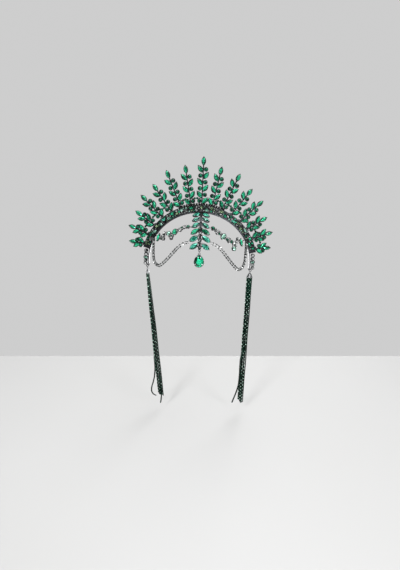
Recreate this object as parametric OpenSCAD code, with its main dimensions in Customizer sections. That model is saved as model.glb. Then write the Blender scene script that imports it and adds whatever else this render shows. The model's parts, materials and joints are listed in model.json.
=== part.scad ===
// Bridal crown: a headband with a fan of fifteen leaf sprigs, a forehead piece with a hanging
// pear drop, garlands and festoons over the brow, and a long tassel at each end of the band.
// Millimetres. The origin is the inside top of the headband, where it sits on the head.
// +Z is up, -Y is the front and +X is to the right in the front view.

/* [Headband] */
// Inside radius of the arch
band_r = 76; // [74:0.5:78]
// Depth of the strip behind the stone channel
band_w = 7; // [5:0.5:9]
// Thickness of the strip
band_t = 1.2; // [1:0.1:1.4]
// Angle from the top to each end of the strip
band_end = 94; // [93:0.5:95]
// Height of the stone channel, measured outwards from the inside of the strip
gallery_h = 11; // [10.5:0.5:12]
// Angle from the top to each end of the stone channel
gallery_end = 75; // [73:1:76]
// Angle at which the channel and the sprigs lean back
lean = 8; // [0:1:12]

/* [Settings and stones] */
// Length of a leaf stone
leaf_l = 10; // [9:0.5:10.5]
// Width of a leaf stone
leaf_w = 5; // [4:0.25:5.25]
// Diameter of the round stone opposite a leaf
round_d = 4.75; // [3.5:0.25:4.75]
// Wall of a setting around its stone
wall = 0.7; // [0.5:0.05:0.8]
// Thickness of a frame below its stones
floor_t = 1; // [0.8:0.1:1.2]
// Height of a setting's wall above that floor
rim_h = 1; // [0.6:0.1:1.2]
// Clear space between a stone and its setting
gap = 0.12; // [0.1:0.01:0.2]
// Height of a cut stone
cut_h = 2.2; // [1.8:0.1:2.6]

/* [Sprigs] */
// Width of a sprig's stem
stem_w = 1.6; // [1.4:0.1:2]
// Angle between a leaf and its stem
leaf_turn = 38; // [34:1:40]

/* [Forehead piece] */
// Radius that its spine follows over the brow
brow_r = 62; // [60:1:66]
// Slope of the brow where the spine leaves the headband
brow_start = 19; // [17:1:21]
// Distance from one row of leaves to the next, along the spine
row_pitch = 10; // [9.8:0.1:10.2]
// Length of the pear stone
pear_l = 16.5; // [13:0.5:17]
// Width of the pear stone
pear_w = 12.8; // [10:0.2:13.2]

/* [Festoons and tassels] */
// Thickness of one strand of a festoon
strand_d = 2.4; // [2:0.1:2.5]
// Height at which the tassels end
tassel_end = -340; // [-360:1:-250]

/* [Hidden] */
SIDES = ["l", "r"];
STEPS = [for (k = [-7:7]) k];
function label(k) = k == 0 ? "c" : str(k < 0 ? "l" : "r", abs(k));

// Shapes of cut stones. An oval is a round with unequal length and width.
MARQUISE = 0;
ROUND = 1;
BAGUETTE = 2;
PEAR = 3;
// A stone is a row: shape, place across, place along, turn clockwise, length, width
SHAPE = 0;
ACROSS = 1;
ALONG = 2;
TURN = 3;
LENGTH = 4;
WIDTH = 5;
corners = 8;
cup_corners = 16;
table_share = 0.55;

// Stations of the leaning fan
plate_back = -0.6;
pocket_z = plate_back + floor_t;
stone_z = pocket_z + gap;
rim_z = pocket_z + rim_h;
lip_t = 1;
fan_r = band_r + gallery_h;
channel_in = band_r + band_t + lip_t;
channel_out = fan_r - lip_t;
channel_mid = (channel_in + channel_out) / 2;
zigzag = 1.5;
band_stone_pitch = 5;
band_stone_end = 70;

// The sprigs from the centre outwards: sizes alike on both sides, and all of the same hand
SPRIG_ANGLE = 0;
SPRIG_LEAN_OUT = 1;
SPRIG_LENGTH = 2;
SPRIG_TIP_GAP = 3;
SPRIG_PAIRS = 4;
SPRIGS = [
    [0, 0, 63, 15.8, 6],
    [9.9, 1.2, 53.5, 15.4, 5],
    [19.5, 5, 53, 15.4, 5],
    [29.3, 8, 44.5, 14.5, 4],
    [39.6, 7.5, 42.5, 14.5, 4],
    [50.3, 6.5, 33, 13, 3],
    [61, 9, 31, 13, 3],
    [71.4, 13.5, 23, 11.5, 2],
];
lowest_pair = 5.5;
leaf_out = 4;
round_out = 3.7;
foot_w = 6;
foot_h = 1.2;

// The rows of the forehead piece from the top down
ROW_LEAF_OUT = 0;
ROW_LEAF_L = 1;
ROW_LEAF_W = 2;
ROW_CENTRE_D = 3;
ROWS = [
    [6.6, 11, 5.5, 0],
    [6.6, 11, 5.5, 0],
    [6.6, 11, 5.5, 0],
    [7.2, 12, 5.8, 3.2],
    [8.4, 13, 6.2, 3.6],
    [7.8, 12, 6, 3.2],
];
first_row = 7;
row_turn = -55;
row_base = 3.1;
arm_w = 1.6;
centre_drop = -1.6;
spine_w = 2.6;
spine_t = 1.1;
spine_inset = 0.5;
spine_y = -1.9;
spine_z = 0.5;
spine_l = first_row + (len(ROWS) - 1) * row_pitch + 4.6;

// Wire loops: radius of the ring's middle line, and of its wire
LOOP_R = 0;
LOOP_WIRE = 1;
EYE = [1.3, 0.35];
RING = [1.6, 0.3];
BAIL = [1.3, 0.35];
BAND_EYE = [1.6, 0.45];
CAP_LOOP = [1.6, 0.4];
link_gap = 0.05;
function loop_reach(upper, lower) = upper[LOOP_R] - upper[LOOP_WIRE] + lower[LOOP_R]
    - lower[LOOP_WIRE] - link_gap;
eye_y = spine_at(spine_l)[1] + spine_inset + spine_t / 2;
eye_z = spine_at(spine_l)[2] - EYE[LOOP_R] + 0.2;
ring_z = eye_z - loop_reach(EYE, RING);
bail_z = ring_z - loop_reach(RING, BAIL);
pear_wall = 0.8;
pear_z = bail_z - BAIL[LOOP_R] - pear_l / 2 - pear_wall + 0.3;

// The brow that the garlands and festoons lie on: an ellipsoid, centre and half axes
BROW_MID = [0, 14.5, -74];
BROW = [75, 61, 76];
garland_wire = 0.7;
garland_lift = 1.6;
band_front = (rim_z + garland_wire + 0.2);
// Garland stones as rows: shape, x, z, turn, length, width, and the row it is linked to
LINK = 6;
GARLAND_START = [12, -16.6];
GARLAND_BAND = 57.7;
GARLANDS = [
    [
        [ROUND, 16.4, -17.2, 0, 4, 4, -1],
        [ROUND, 21.8, -18, 0, 4, 4, 0],
        [ROUND, 27.2, -21.6, 0, 4.8, 4.8, 1],
        [ROUND, 34, -25, 0, 8, 6.6, 2],
        [ROUND, 42.4, -28.4, 0, 6.2, 6.2, 3],
        [ROUND, 49.4, -29.8, 0, 4.6, 4.6, 4],
        [ROUND, 50, -36, 0, 4.4, 4.4, 5],
        [ROUND, 38.6, -33, 0, 4, 4, 3],
        [MARQUISE, 58, -36.5, 14, 10.6, 5, 5],
    ],
    [
        [ROUND, 16.4, -17.6, 0, 5, 5, -1],
        [BAGUETTE, 23.4, -22, 55, 6.6, 3.4, 0],
        [ROUND, 31, -27.4, 50, 9, 5.6, 1],
        [ROUND, 39, -32.4, 20, 6.6, 5, 2],
        [ROUND, 46, -36.4, 0, 4.8, 4.8, 3],
        [ROUND, 46.4, -43.2, 0, 5.8, 5.8, 4],
        [ROUND, 51.8, -32.6, 0, 4.4, 4.4, 4],
        [MARQUISE, 57, -37.5, 12, 9.6, 4.8, 6],
    ],
];

// Route of a festoon's upper strand on the right, from the forehead piece to the band
FESTOON = [
    [15.1, -38.4, -32.4], [22, -39.6, -34.6], [29.5, -39.5, -40], [38, -38.5, -50],
    [47, -36, -61], [56, -30, -70], [62.5, -23, -68.5], [65, -18, -61],
    [65.5, -14.5, -52], [66, -9.5, -44], [66.3, -4, -38],
];
festoon_steps = 2;
festoon_pitch = 2.8;
festoon_sides = 8;

// Crystals at the ends of the band as rows like any stone, around the middle of their frame
SIDE_ANGLE = 84.5;
SIDE_R = 80.7;
SIDE_STONES = [
    [ROUND, -9.5, 0.3, 0, 4.5, 4.5],
    [ROUND, -4.2, 0, 0, 4.5, 4.5],
    [BAGUETTE, 0.8, 0, 0, 5.4, 3],
    [ROUND, 5.4, 0, 0, 4, 4],
    [ROUND, 10, 0.2, 0, 3.6, 3.6],
];

// Tassels: where each hangs, its cap, and its flat bundle of strands
tab_y = 3;
tab_w = 4;
tab_t = 1.2;
cap_x = 79;
band_eye_z = -83.4;
cap_loop_z = band_eye_z - loop_reach(BAND_EYE, CAP_LOOP);
cap_z = cap_loop_z - CAP_LOOP[LOOP_R] + 0.3;
// A cap is flat: its width and depth at its top, then at its rim
CAP_TOP = [3, 2.2];
CAP_RIM = [10, 4.8];
// The left cap is edge-on, and its strands turn to the front on the way down
CAP_TURN = [90, 0];
cap_l = 8;
cap_top_h = 0.2;
cap_rim_h = 0.8;
cap_sides = 32;
head_l = 4;
head_inset = 0.4;
TASSEL_FOOT = [[-58.5, -4], [87, -4]];
lock_steps = 6;
lock_size = [2.3, 2, 0.6];
// Distance between neighbouring strands at the top and at the foot, and how far they stand out in turn
STRAND_PITCH = [1.45, 1.75];
strand_out = 0.4;
// How far short of the tassel's end each strand ends, from one edge of the bundle to the other
STRANDS_SHORT = [[14, 11, 9, 8, 9, 10], [6, 4, 3, 2, 0, 3]];

// Plain vector helpers
function unit(v) = v / norm(v);
function turned(p, a) = [p[0] * cos(a) + p[1] * sin(a), p[1] * cos(a) - p[0] * sin(a)];
function side_of(s) = s == "l" ? -1 : 1;
function index_of(s) = s == "l" ? 0 : 1;

// A point on the edge of a stone, where t runs clockwise from its tip
function edge(shape, t, l, w) =
    shape == MARQUISE ? [w / 2 * sin(t) * pow(abs(sin(t)), 0.6), l / 2 * cos(t)]
    : shape == BAGUETTE ? [w / 2 * sign(sin(t)) * sqrt(abs(sin(t))),
        l / 2 * sign(cos(t)) * sqrt(abs(cos(t)))]
    : shape == PEAR ? [w / 2 * 1.13 * sin(t) * pow(sin(t / 2), 0.4), l / 2 * cos(t)]
    : [w / 2 * sin(t), l / 2 * cos(t)];
function outline(shape, l, w, n) =
    [for (i = [0:n - 1]) edge(shape, (i + (shape == BAGUETTE ? 0.5 : 0)) * 360 / n, l, w)];

// The corners of one cut stone in the plane of its frame: its back, then its table
function cut_points(s, z = stone_z, n = corners) = [
    for (level = [0, 1], p = outline(s[SHAPE], s[LENGTH], s[WIDTH], n))
        let (q = turned(p * (level == 0 ? 1 : table_share), s[TURN]))
            [s[ACROSS] + q[0], s[ALONG] + q[1], z + level * cut_h]];
function cut_faces(first, n) = concat(
    [[for (i = [n - 1:-1:0]) first + i], [for (i = [0:n - 1]) first + n + i]],
    [for (i = [0:n - 1]) let (j = (i + 1) % n)
        [first + i, first + j, first + n + j, first + n + i]]);

// Many cut stones that don't touch, as one solid shape
module stone_field(stones, n = corners) {
    polyhedron(
        points = [for (s = stones) each s],
        faces = [for (i = [0:len(stones) - 1]) each cut_faces(i * 2 * n, n)]);
}

// One stone's setting as a flat outline, grown by a margin
module cup(s, margin) {
    translate([s[ACROSS], s[ALONG]])
        rotate(-s[TURN])
            polygon(outline(s[SHAPE], s[LENGTH] + 2 * margin, s[WIDTH] + 2 * margin, cup_corners));
}

// A flat frame: the drawn outline and its cups, with a pocket sunk for each stone
module frame_plate(stones, pocket = gap) {
    difference() {
        translate([0, 0, plate_back])
            linear_extrude(floor_t + rim_h)
                offset(r = -0.3) offset(r = 0.3) {
                    for (s = stones) cup(s, wall);
                    children();
                }
        translate([0, 0, pocket_z])
            linear_extrude(rim_h + 1)
                offset(delta = 0.01) for (s = stones) cup(s, pocket);
    }
}

// The fan: a cone around the arch's middle. Local y runs outwards and local z to the front.
function fan_y(r) = (r - band_r) * tan(lean);
module at_fan(angle, r) {
    translate([0, 0, -band_r])
        rotate([0, angle, 0])
            translate([0, fan_y(r), r])
                rotate([90 - lean, 0, 0])
                    children();
}
function fan_point(angle, r, p) =
    let (
        y = p[1] * sin(lean) - p[2] * cos(lean) + fan_y(r),
        z = p[1] * cos(lean) + p[2] * sin(lean) + r)
    [p[0] * cos(angle) + z * sin(angle), y, z * cos(angle) - p[0] * sin(angle) - band_r];

// A part of a ring around the arch's middle, from its profile of radius and height to the front
module arch_sweep(half_angle) {
    translate([0, 0, -band_r])
        rotate([-90, 0, 0])
            rotate([0, 0, -90 - half_angle])
                rotate_extrude(angle = 2 * half_angle, $fn = 180)
                    children();
}

// The spine of the forehead piece. Local y runs up the spine and local z out of the brow.
function slope(s) = brow_start + s / brow_r * 180 / PI;
function spine_at(s) = [0,
    spine_y - brow_r * (sin(slope(s)) - sin(brow_start)),
    spine_z - brow_r * (cos(brow_start) - cos(slope(s)))];
module at_spine(s) {
    translate(spine_at(s)) rotate([slope(s), 0, 0]) children();
}
function spine_point(s, p) = spine_at(s) + [p[0],
    p[1] * cos(slope(s)) - p[2] * sin(slope(s)),
    p[1] * sin(slope(s)) + p[2] * cos(slope(s))];

// The brow: the place above a point of the front view, and the directions around it
function brow_share(x, z) =
    let (u = (x - BROW_MID[0]) / BROW[0], v = (z - BROW_MID[2]) / BROW[2]) sqrt(1 - u * u - v * v);
function brow_at(x, z) = [x, BROW_MID[1] - BROW[1] * brow_share(x, z), z];
function brow_out(x, z) = unit([
    (x - BROW_MID[0]) / (BROW[0] * BROW[0]),
    -brow_share(x, z) / BROW[1],
    (z - BROW_MID[2]) / (BROW[2] * BROW[2])]);
function brow_point(x, z, p) =
    let (
        out = brow_out(x, z),
        across = unit(cross([0, 0, 1], -out)),
        up = cross(out, across))
    brow_at(x, z) + p[0] * across + p[1] * up + (p[2] + garland_lift) * out;

// A ring of round wire, its axis along Z
module wire_ring(loop) {
    rotate_extrude($fn = 48)
        translate([loop[LOOP_R], 0])
            circle(loop[LOOP_WIRE], $fn = 16);
}

// A smooth curve through a route's points
function curve_point(a, b, c, d, t) =
    0.5 * ((2 * b) + (c - a) * t + (2 * a - 5 * b + 4 * c - d) * t * t
        + (3 * b - a - 3 * c + d) * t * t * t);
function smooth(route, steps) = let (n = len(route) - 1) concat(
    [for (i = [0:n - 1], j = [0:steps - 1])
        curve_point(route[max(i - 1, 0)], route[i], route[i + 1], route[min(i + 2, n)], j / steps)],
    [route[n]]);
function heading(route, i) =
    unit(route[min(i + 1, len(route) - 1)] - route[max(i - 1, 0)]);

// A tube around a route, with flat ends
module tube(route, d, sides) {
    rings = len(route);
    points = [for (i = [0:rings - 1])
        let (
            ahead = heading(route, i),
            out = brow_out(route[i][0] * 0.9, route[i][2]),
            across = unit(cross(out, ahead)),
            up = cross(ahead, across))
        for (j = [0:sides - 1])
            let (a = j * 360 / sides)
            route[i] + d / 2 * (cos(a) * across + sin(a) * up)];
    faces = concat(
        [[for (j = [0:sides - 1]) j]],
        [[for (j = [sides - 1:-1:0]) (rings - 1) * sides + j]],
        [for (i = [0:rings - 2], j = [0:sides - 1])
            let (k = (j + 1) % sides)
            [i * sides + j, (i + 1) * sides + j, (i + 1) * sides + k, i * sides + k]]);
    polyhedron(points = points, faces = faces);
}

// Headband: a strip over the head, and the channel that stands up along its front edge
module headband() {
    color("#2a2b2e") {
        arch_sweep(band_end)
            translate([band_r, -rim_z])
                square([band_t, band_w + rim_z]);
        arch_sweep(gallery_end)
            polygon([for (p = [
                [band_r + band_t / 2, plate_back], [fan_r, plate_back], [fan_r, rim_z],
                [channel_out, rim_z], [channel_out, pocket_z],
                [channel_in, pocket_z], [channel_in, rim_z], [band_r + band_t / 2, rim_z]])
                    [p[0], fan_y(p[0]) - p[1]]]);
        for (side = [-1, 1]) {
            translate([side * (cap_x + band_r) / 2, tab_y, band_eye_z + BAND_EYE[LOOP_R] + tab_t / 2])
                cube([cap_x - band_r + 2, tab_w, tab_t], center = true);
            translate([side * cap_x, tab_y, band_eye_z])
                rotate([90, 0, 0])
                    wire_ring(BAND_EYE);
        }
    }
}

// Stones of the channel: a zigzag of ovals and rounds
function band_stone(i) = i % 3 == 0 ? [ROUND, 0, 0, 90, 5.6, 4] : [ROUND, 0, 0, 0, 4.2, 4.2];
module band_stones() {
    count = 2 * band_stone_end / band_stone_pitch;
    color("#8fb8a8")
        stone_field([for (i = [0:count])
            let (
                angle = band_stone_pitch * i - band_stone_end,
                r = channel_mid + (i % 2 == 0 ? zigzag : -zigzag))
            [for (p = cut_points(band_stone(i))) fan_point(angle, r, p)]]);
}

// The stones of one sprig: a leaf at the tip, then pairs of a leaf and a round in turn
function sprig_stones(k) =
    let (
        row = SPRIGS[abs(k)],
        top = row[SPRIG_LENGTH] - row[SPRIG_TIP_GAP],
        pitch = (top - lowest_pair) / (row[SPRIG_PAIRS] - 1))
    concat(
        [[MARQUISE, 0, row[SPRIG_LENGTH] - leaf_l / 2 - wall, 0, leaf_l, leaf_w]],
        [for (j = [0:row[SPRIG_PAIRS] - 1])
            let (y = top - j * pitch, s = j % 2 == 0 ? -1 : 1)
            each [
                [MARQUISE, s * leaf_out, y, s * leaf_turn, leaf_l, leaf_w],
                [ROUND, -s * round_out, y - 0.3, 0, round_d, round_d]]]);
module at_sprig(k) {
    row = SPRIGS[abs(k)];
    side = k < 0 ? -1 : 1;
    at_fan(side * row[SPRIG_ANGLE], fan_r)
        rotate([0, 0, -side * row[SPRIG_LEAN_OUT]])
            children();
}
module sprig_frame(k) {
    row = SPRIGS[abs(k)];
    side = k < 0 ? -1 : 1;
    color("#24262a")
        at_sprig(k)
            frame_plate(sprig_stones(k)) {
                translate([-stem_w / 2, gap + 0.6])
                    square([stem_w, row[SPRIG_LENGTH] - leaf_l]);
                rotate(side * row[SPRIG_LEAN_OUT])
                    translate([-foot_w / 2, gap])
                        square([foot_w, foot_h]);
            }
}
module sprig_gems(k) {
    color("#1f9a6c") at_sprig(k) stone_field([for (s = sprig_stones(k)) cut_points(s)]);
}

// The stones of one row of the forehead piece, around its place on the spine
function row_leaves(row) = [for (s = [-1, 1])
    [MARQUISE, s * row[ROW_LEAF_OUT], 0, s * row_turn, row[ROW_LEAF_L], row[ROW_LEAF_W]]];
function row_stones(row) = concat(row_leaves(row), row[ROW_CENTRE_D] == 0 ? []
    : [[ROUND, 0, centre_drop, 0, row[ROW_CENTRE_D], row[ROW_CENTRE_D]]]);
function row_place(i) = first_row + i * row_pitch;
module front_drop() {
    color("#24262a") {
        for (i = [0:len(ROWS) - 1])
            at_spine(row_place(i))
                frame_plate(row_stones(ROWS[i])) {
                    translate([-row_base / 2, -4.4])
                        square([row_base, 8.4]);
                    square([2 * ROWS[i][ROW_LEAF_OUT], arm_w], center = true);
                }
        translate([0, spine_y + brow_r * sin(brow_start), spine_z - brow_r * cos(brow_start)])
            rotate([0, 90, 0])
                rotate([0, 0, 180 + brow_start])
                    rotate_extrude(angle = slope(spine_l) - brow_start, $fn = 180)
                        translate([brow_r - spine_inset - spine_t, -spine_w / 2])
                            square([spine_t, spine_w]);
        translate([0, eye_y, eye_z])
            rotate([90, 0, 0])
                wire_ring(EYE);
    }
}
module leaf_stones() {
    color("#1f9a6c")
        stone_field([for (i = [0:len(ROWS) - 1], s = row_stones(ROWS[i]))
            [for (p = cut_points(s)) spine_point(row_place(i), p)]]);
}

// The main drop: a ring through the eye, and the pear's bail through the ring
module jump_ring() {
    color("#9a9da3")
        translate([0, eye_y, ring_z])
            rotate([0, 90, 0])
                wire_ring(RING);
}
function pear_row() = [PEAR, 0, 0, 0, pear_l, pear_w];
module pear_setting() {
    color("#b9bcc2") {
        translate([0, eye_y, pear_z])
            rotate([90, 0, 0])
                difference() {
                    translate([0, 0, plate_back])
                        linear_extrude(floor_t + rim_h)
                            cup(pear_row(), pear_wall);
                    translate([0, 0, pocket_z])
                        linear_extrude(rim_h + 1)
                            cup(pear_row(), gap);
                }
        translate([0, eye_y, bail_z])
            rotate([90, 0, 0])
                wire_ring(BAIL);
    }
}
module pear_stone() {
    pear_corners = 16;
    color("#17a377")
        translate([0, eye_y, pear_z])
            rotate([90, 0, 0])
                stone_field([cut_points(pear_row(), stone_z, pear_corners)], pear_corners);
}

// A garland: small cups on the brow, joined by bars to each other and towards the band
module garland_bar(a, b) {
    hull() for (p = [a, b])
        translate(p) sphere(garland_wire, $fn = 8);
}
function garland_seat(s) = brow_point(s[ACROSS], s[ALONG], [0, 0, plate_back + 0.1]);
module garland(s) {
    rows = GARLANDS[index_of(s)];
    start = brow_point(GARLAND_START[0], GARLAND_START[1], [0, 0, plate_back + 0.1]);
    anchor_r = band_r + band_t / 2;
    anchor = [anchor_r * sin(GARLAND_BAND), -band_front, anchor_r * cos(GARLAND_BAND) - band_r];
    color("#3a3c40")
        mirror([side_of(s) < 0 ? 1 : 0, 0, 0]) {
            for (row = rows) {
                garland_bar(row[LINK] < 0 ? start : garland_seat(rows[row[LINK]]), garland_seat(row));
                seat = outline(row[SHAPE], row[LENGTH] + 2 * wall, row[WIDTH] + 2 * wall, 12);
                hull() polyhedron(
                    points = [for (z = [plate_back, pocket_z], p = seat)
                        let (q = turned(p, row[TURN])) brow_point(row[ACROSS], row[ALONG], [q[0], q[1], z])],
                    faces = cut_faces(0, 12));
            }
            garland_bar(garland_seat(rows[len(rows) - 1]), anchor);
        }
}
module garland_stones(s) {
    color("#a9d8c6")
        mirror([side_of(s) < 0 ? 1 : 0, 0, 0])
            stone_field([for (row = GARLANDS[index_of(s)])
                [for (p = cut_points([row[SHAPE], 0, 0, row[TURN], row[LENGTH], row[WIDTH]]))
                    brow_point(row[ACROSS], row[ALONG], p)]]);
}

// A festoon strand: the lower one runs beside the upper one, on its outer side
function beside(route, d) = [for (i = [0:len(route) - 1])
    let (ahead = heading(route, i), out = brow_out(route[i][0] * 0.9, route[i][2]))
    route[i] + d * unit(cross(ahead, out))];
module festoon(s, lower) {
    route = smooth(FESTOON, festoon_steps);
    color("#b3b8bd")
        mirror([side_of(s) < 0 ? 1 : 0, 0, 0])
            tube(lower ? beside(route, festoon_pitch) : route, strand_d, festoon_sides);
}

// The crystals at the end of the band, and the small frame that carries them
module at_side(s) {
    side = side_of(s);
    at_fan(side * SIDE_ANGLE, SIDE_R)
        mirror([side < 0 ? 1 : 0, 0, 0])
            children();
}
module side_frame(s) {
    color("#24262a")
        at_side(s)
            frame_plate(SIDE_STONES)
                translate([-10, -1])
                    square([20, 2]);
}
module side_stones(s) {
    color("#dfe6e6") at_side(s) stone_field([for (row = SIDE_STONES) cut_points(row)]);
}

// The cap of a tassel hangs by its loop in the eye at the end of the band
module flat_round(size, sides) {
    polygon(outline(ROUND, size[1], size[0], sides));
}
module tassel_cap(s) {
    color("#d9dcdf")
        translate([side_of(s) * cap_x, tab_y, 0]) {
            translate([0, 0, cap_loop_z]) rotate([0, 90, 0]) wire_ring(CAP_LOOP);
            rotate(CAP_TURN[index_of(s)])
                hull() {
                    translate([0, 0, cap_z - cap_top_h])
                        linear_extrude(cap_top_h) flat_round(CAP_TOP, cap_sides);
                    translate([0, 0, cap_z - cap_l])
                        linear_extrude(cap_rim_h) flat_round(CAP_RIM, cap_sides);
                }
        }
}

// A tassel: strands side by side, which leave the head together and turn to the front as they fall
head_top = cap_z - cap_l - 0.2;
function between(a, b, t) = a + (b - a) * t;
module lock(s, strand, i) {
    t = i / lock_steps;
    shorts = STRANDS_SHORT[index_of(s)];
    top = [side_of(s) * cap_x, tab_y];
    at = between(top, TASSEL_FOOT[index_of(s)], t);
    across = (strand - (len(shorts) - 1) / 2) * between(STRAND_PITCH[0], STRAND_PITCH[1], t);
    translate([at[0], at[1], between(head_top - head_l / 2, tassel_end + shorts[strand], t)])
        rotate(CAP_TURN[index_of(s)] * (1 - t))
            translate([across, strand % 2 == 0 ? strand_out : -strand_out, 0])
                cube(lock_size, center = true);
}
module tassel(s) {
    color("#12382b") {
        translate([side_of(s) * cap_x, tab_y, head_top - head_l])
            rotate(CAP_TURN[index_of(s)])
                linear_extrude(head_l)
                    flat_round([for (w = CAP_RIM) w - 2 * head_inset], cap_sides / 2);
        for (strand = [0:len(STRANDS_SHORT[index_of(s)]) - 1], i = [0:lock_steps - 1])
            hull() {
                lock(s, strand, i);
                lock(s, strand, i + 1);
            }
    }
}

headband();
band_stones();
for (k = STEPS) {
    sprig_frame(k);
    sprig_gems(k);
}
front_drop();
leaf_stones();
jump_ring();
pear_setting();
pear_stone();
for (s = SIDES) {
    garland(s);
    garland_stones(s);
    festoon(s, false);
    festoon(s, true);
    side_frame(s);
    side_stones(s);
    tassel_cap(s);
    tassel(s);
}
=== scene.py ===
# %% [markdown]
# # A bridal crown, dressed in Blender
#
# The crown is a dark headband with a fan of leaf sprigs, a forehead piece with a pear drop, and
# garlands, festoons and long tassels of beads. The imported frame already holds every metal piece
# and the seat of every stone, at its real size and in metres. This lesson adds what a jeweller
# adds on the bench: cut stones, claws, cups, cup chain and beads, and then the finishes.

# %% Load the frame
import json
import math
import random
from collections import namedtuple

import bpy
from mathutils import Matrix, Vector

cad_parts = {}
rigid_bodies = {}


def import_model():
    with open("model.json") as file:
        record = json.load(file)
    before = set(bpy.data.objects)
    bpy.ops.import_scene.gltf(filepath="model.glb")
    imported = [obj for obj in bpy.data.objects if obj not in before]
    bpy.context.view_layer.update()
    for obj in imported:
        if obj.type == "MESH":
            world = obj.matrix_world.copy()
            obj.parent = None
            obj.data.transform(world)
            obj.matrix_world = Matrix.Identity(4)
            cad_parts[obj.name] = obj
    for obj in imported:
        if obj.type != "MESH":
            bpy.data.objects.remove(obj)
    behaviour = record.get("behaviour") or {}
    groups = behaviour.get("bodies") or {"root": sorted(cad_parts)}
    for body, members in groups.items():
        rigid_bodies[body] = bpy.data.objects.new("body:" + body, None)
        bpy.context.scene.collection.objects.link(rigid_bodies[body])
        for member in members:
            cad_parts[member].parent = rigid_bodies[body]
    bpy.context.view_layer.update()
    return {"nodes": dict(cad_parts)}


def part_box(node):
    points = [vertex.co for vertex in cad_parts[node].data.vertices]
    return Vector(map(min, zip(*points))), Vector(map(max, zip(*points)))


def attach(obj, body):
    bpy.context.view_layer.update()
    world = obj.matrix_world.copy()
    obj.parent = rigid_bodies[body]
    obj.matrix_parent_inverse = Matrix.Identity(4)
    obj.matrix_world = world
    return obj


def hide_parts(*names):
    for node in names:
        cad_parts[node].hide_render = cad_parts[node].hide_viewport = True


bpy.ops.object.select_all(action="SELECT")
bpy.ops.object.delete()
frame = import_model()
nodes = frame["nodes"]
MM = 0.001
SIDES = {"l": -1, "r": 1}  # the way along X
chance = random.Random(11)  # seeded, so that each run gives the same crown

# %% [markdown]
# ## The camera
#
# The photograph looks down on the crown by 22 degrees from close by, and the crown leans a little
# clockwise in it. The lean is given to the camera, so that the crown itself stays upright. The
# three directions of the camera are written out, because a roll is easy to get wrong with angles.

# %% Camera
PITCH = math.radians(22)
ROLL = math.radians(2.8)
IMAGE_HEIGHT = 570
FOCAL_LENGTH = 290  # in the image's pixels
SENSOR = 36
eye = Vector((3.1, -419.9, 59.4)) * MM
ahead = Vector((0, math.cos(PITCH), -math.sin(PITCH)))
level_right = Vector((1, 0, 0))
level_up = Vector((0, math.sin(PITCH), math.cos(PITCH)))
camera_right = level_right * math.cos(ROLL) + level_up * math.sin(ROLL)
camera_up = level_up * math.cos(ROLL) - level_right * math.sin(ROLL)
bpy.ops.object.camera_add()
camera = bpy.context.object
camera.matrix_world = Matrix.Translation(eye) @ Matrix(
    (camera_right, camera_up, -ahead)
).transposed().to_4x4()
camera.data.sensor_width = SENSOR
camera.data.lens = SENSOR * FOCAL_LENGTH / IMAGE_HEIGHT
camera.data.clip_start = 0.01
bpy.context.scene.camera = camera
print("camera", [round(v / MM, 1) for v in eye], "lens", round(camera.data.lens, 2))

# %% [markdown]
# ## The studio
#
# A plain pale floor and a light grey room. Cut stones need small bright lamps to flash, so three
# stand in front: left, right and low. A wider one above shows the colours. A photographer puts dark
# flags in front of jewels, so that metal and glass reflect less of the pale room: here the front of
# the room is darker for reflections alone. The bare wall behind, a lamp high up behind and a wide
# glow from low behind, hidden from the camera, show the form of the flat backs.


# %% Studio helpers
def pick(*objects):
    """Select only these objects, the last one active, so that an operator acts on nothing else."""
    bpy.ops.object.select_all(action="DESELECT")
    for one in objects:
        one.select_set(True)
    bpy.context.view_layer.objects.active = objects[-1]


def new_material(name):
    """A material with nodes: its node tree and its Principled shader."""
    made = bpy.data.materials.new(name)
    made.use_nodes = True
    return made, made.node_tree, made.node_tree.nodes["Principled BSDF"]


def add(tree, kind, **settings):
    """A node with some of its settings; a name with in_ before it sets an input's value."""
    made = tree.nodes.new("ShaderNode" + kind)
    for key, value in settings.items():
        if key.startswith("in_"):
            made.inputs[key[3:].replace("_", " ")].default_value = value
        else:
            setattr(made, key, value)
    return made


FACTOR, FIRST, SECOND, MIXED = 0, 6, 7, 2  # the sockets of a Mix node that mixes colours


def mix_colours(tree, first=None, second=None):
    """A Mix node for two colours, which are set here or linked later."""
    made = add(tree, "Mix", data_type="RGBA")
    for socket, colour in ((FIRST, first), (SECOND, second)):
        if colour:
            made.inputs[socket].default_value = colour
    return made


def link(tree, *wires):
    """Links of a node tree, each written as a node and its output, then a node and its input."""
    for source, output, target, taken in wires:
        tree.links.new(source.outputs[output], target.inputs[taken])


def lamp(name, place, target, size, power):
    """A square soft lamp at a place in metres that shines on a target."""
    bpy.ops.object.light_add(type="AREA", location=place)
    made = bpy.context.object
    made.name = name
    made.data.size = size
    made.data.energy = power
    made.rotation_euler = (Vector(target) - Vector(place)).to_track_quat("-Z", "Y").to_euler()
    return made


# %% Floor
FLOOR_Z = -0.362
FLOOR_WHITE = (0.52, 0.52, 0.52, 1)
FLOOR_WARMER = (0.49, 0.49, 0.485, 1)
IMAGE_MIDDLE = (200, 285)
FLOOR_LINE = 356  # the image row where the floor ends
FLOOR_ENDS = (-500, 900)  # the image columns of the far corners
FLOOR_DEPTH = 3


def on_floor(column, row):
    """The place on the floor that shows at a pixel of the image."""
    ray = (
        ahead * FOCAL_LENGTH
        + camera_right * (column - IMAGE_MIDDLE[0])
        + camera_up * (IMAGE_MIDDLE[1] - row)
    )
    return eye + ray * ((FLOOR_Z - eye.z) / ray.z)


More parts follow.
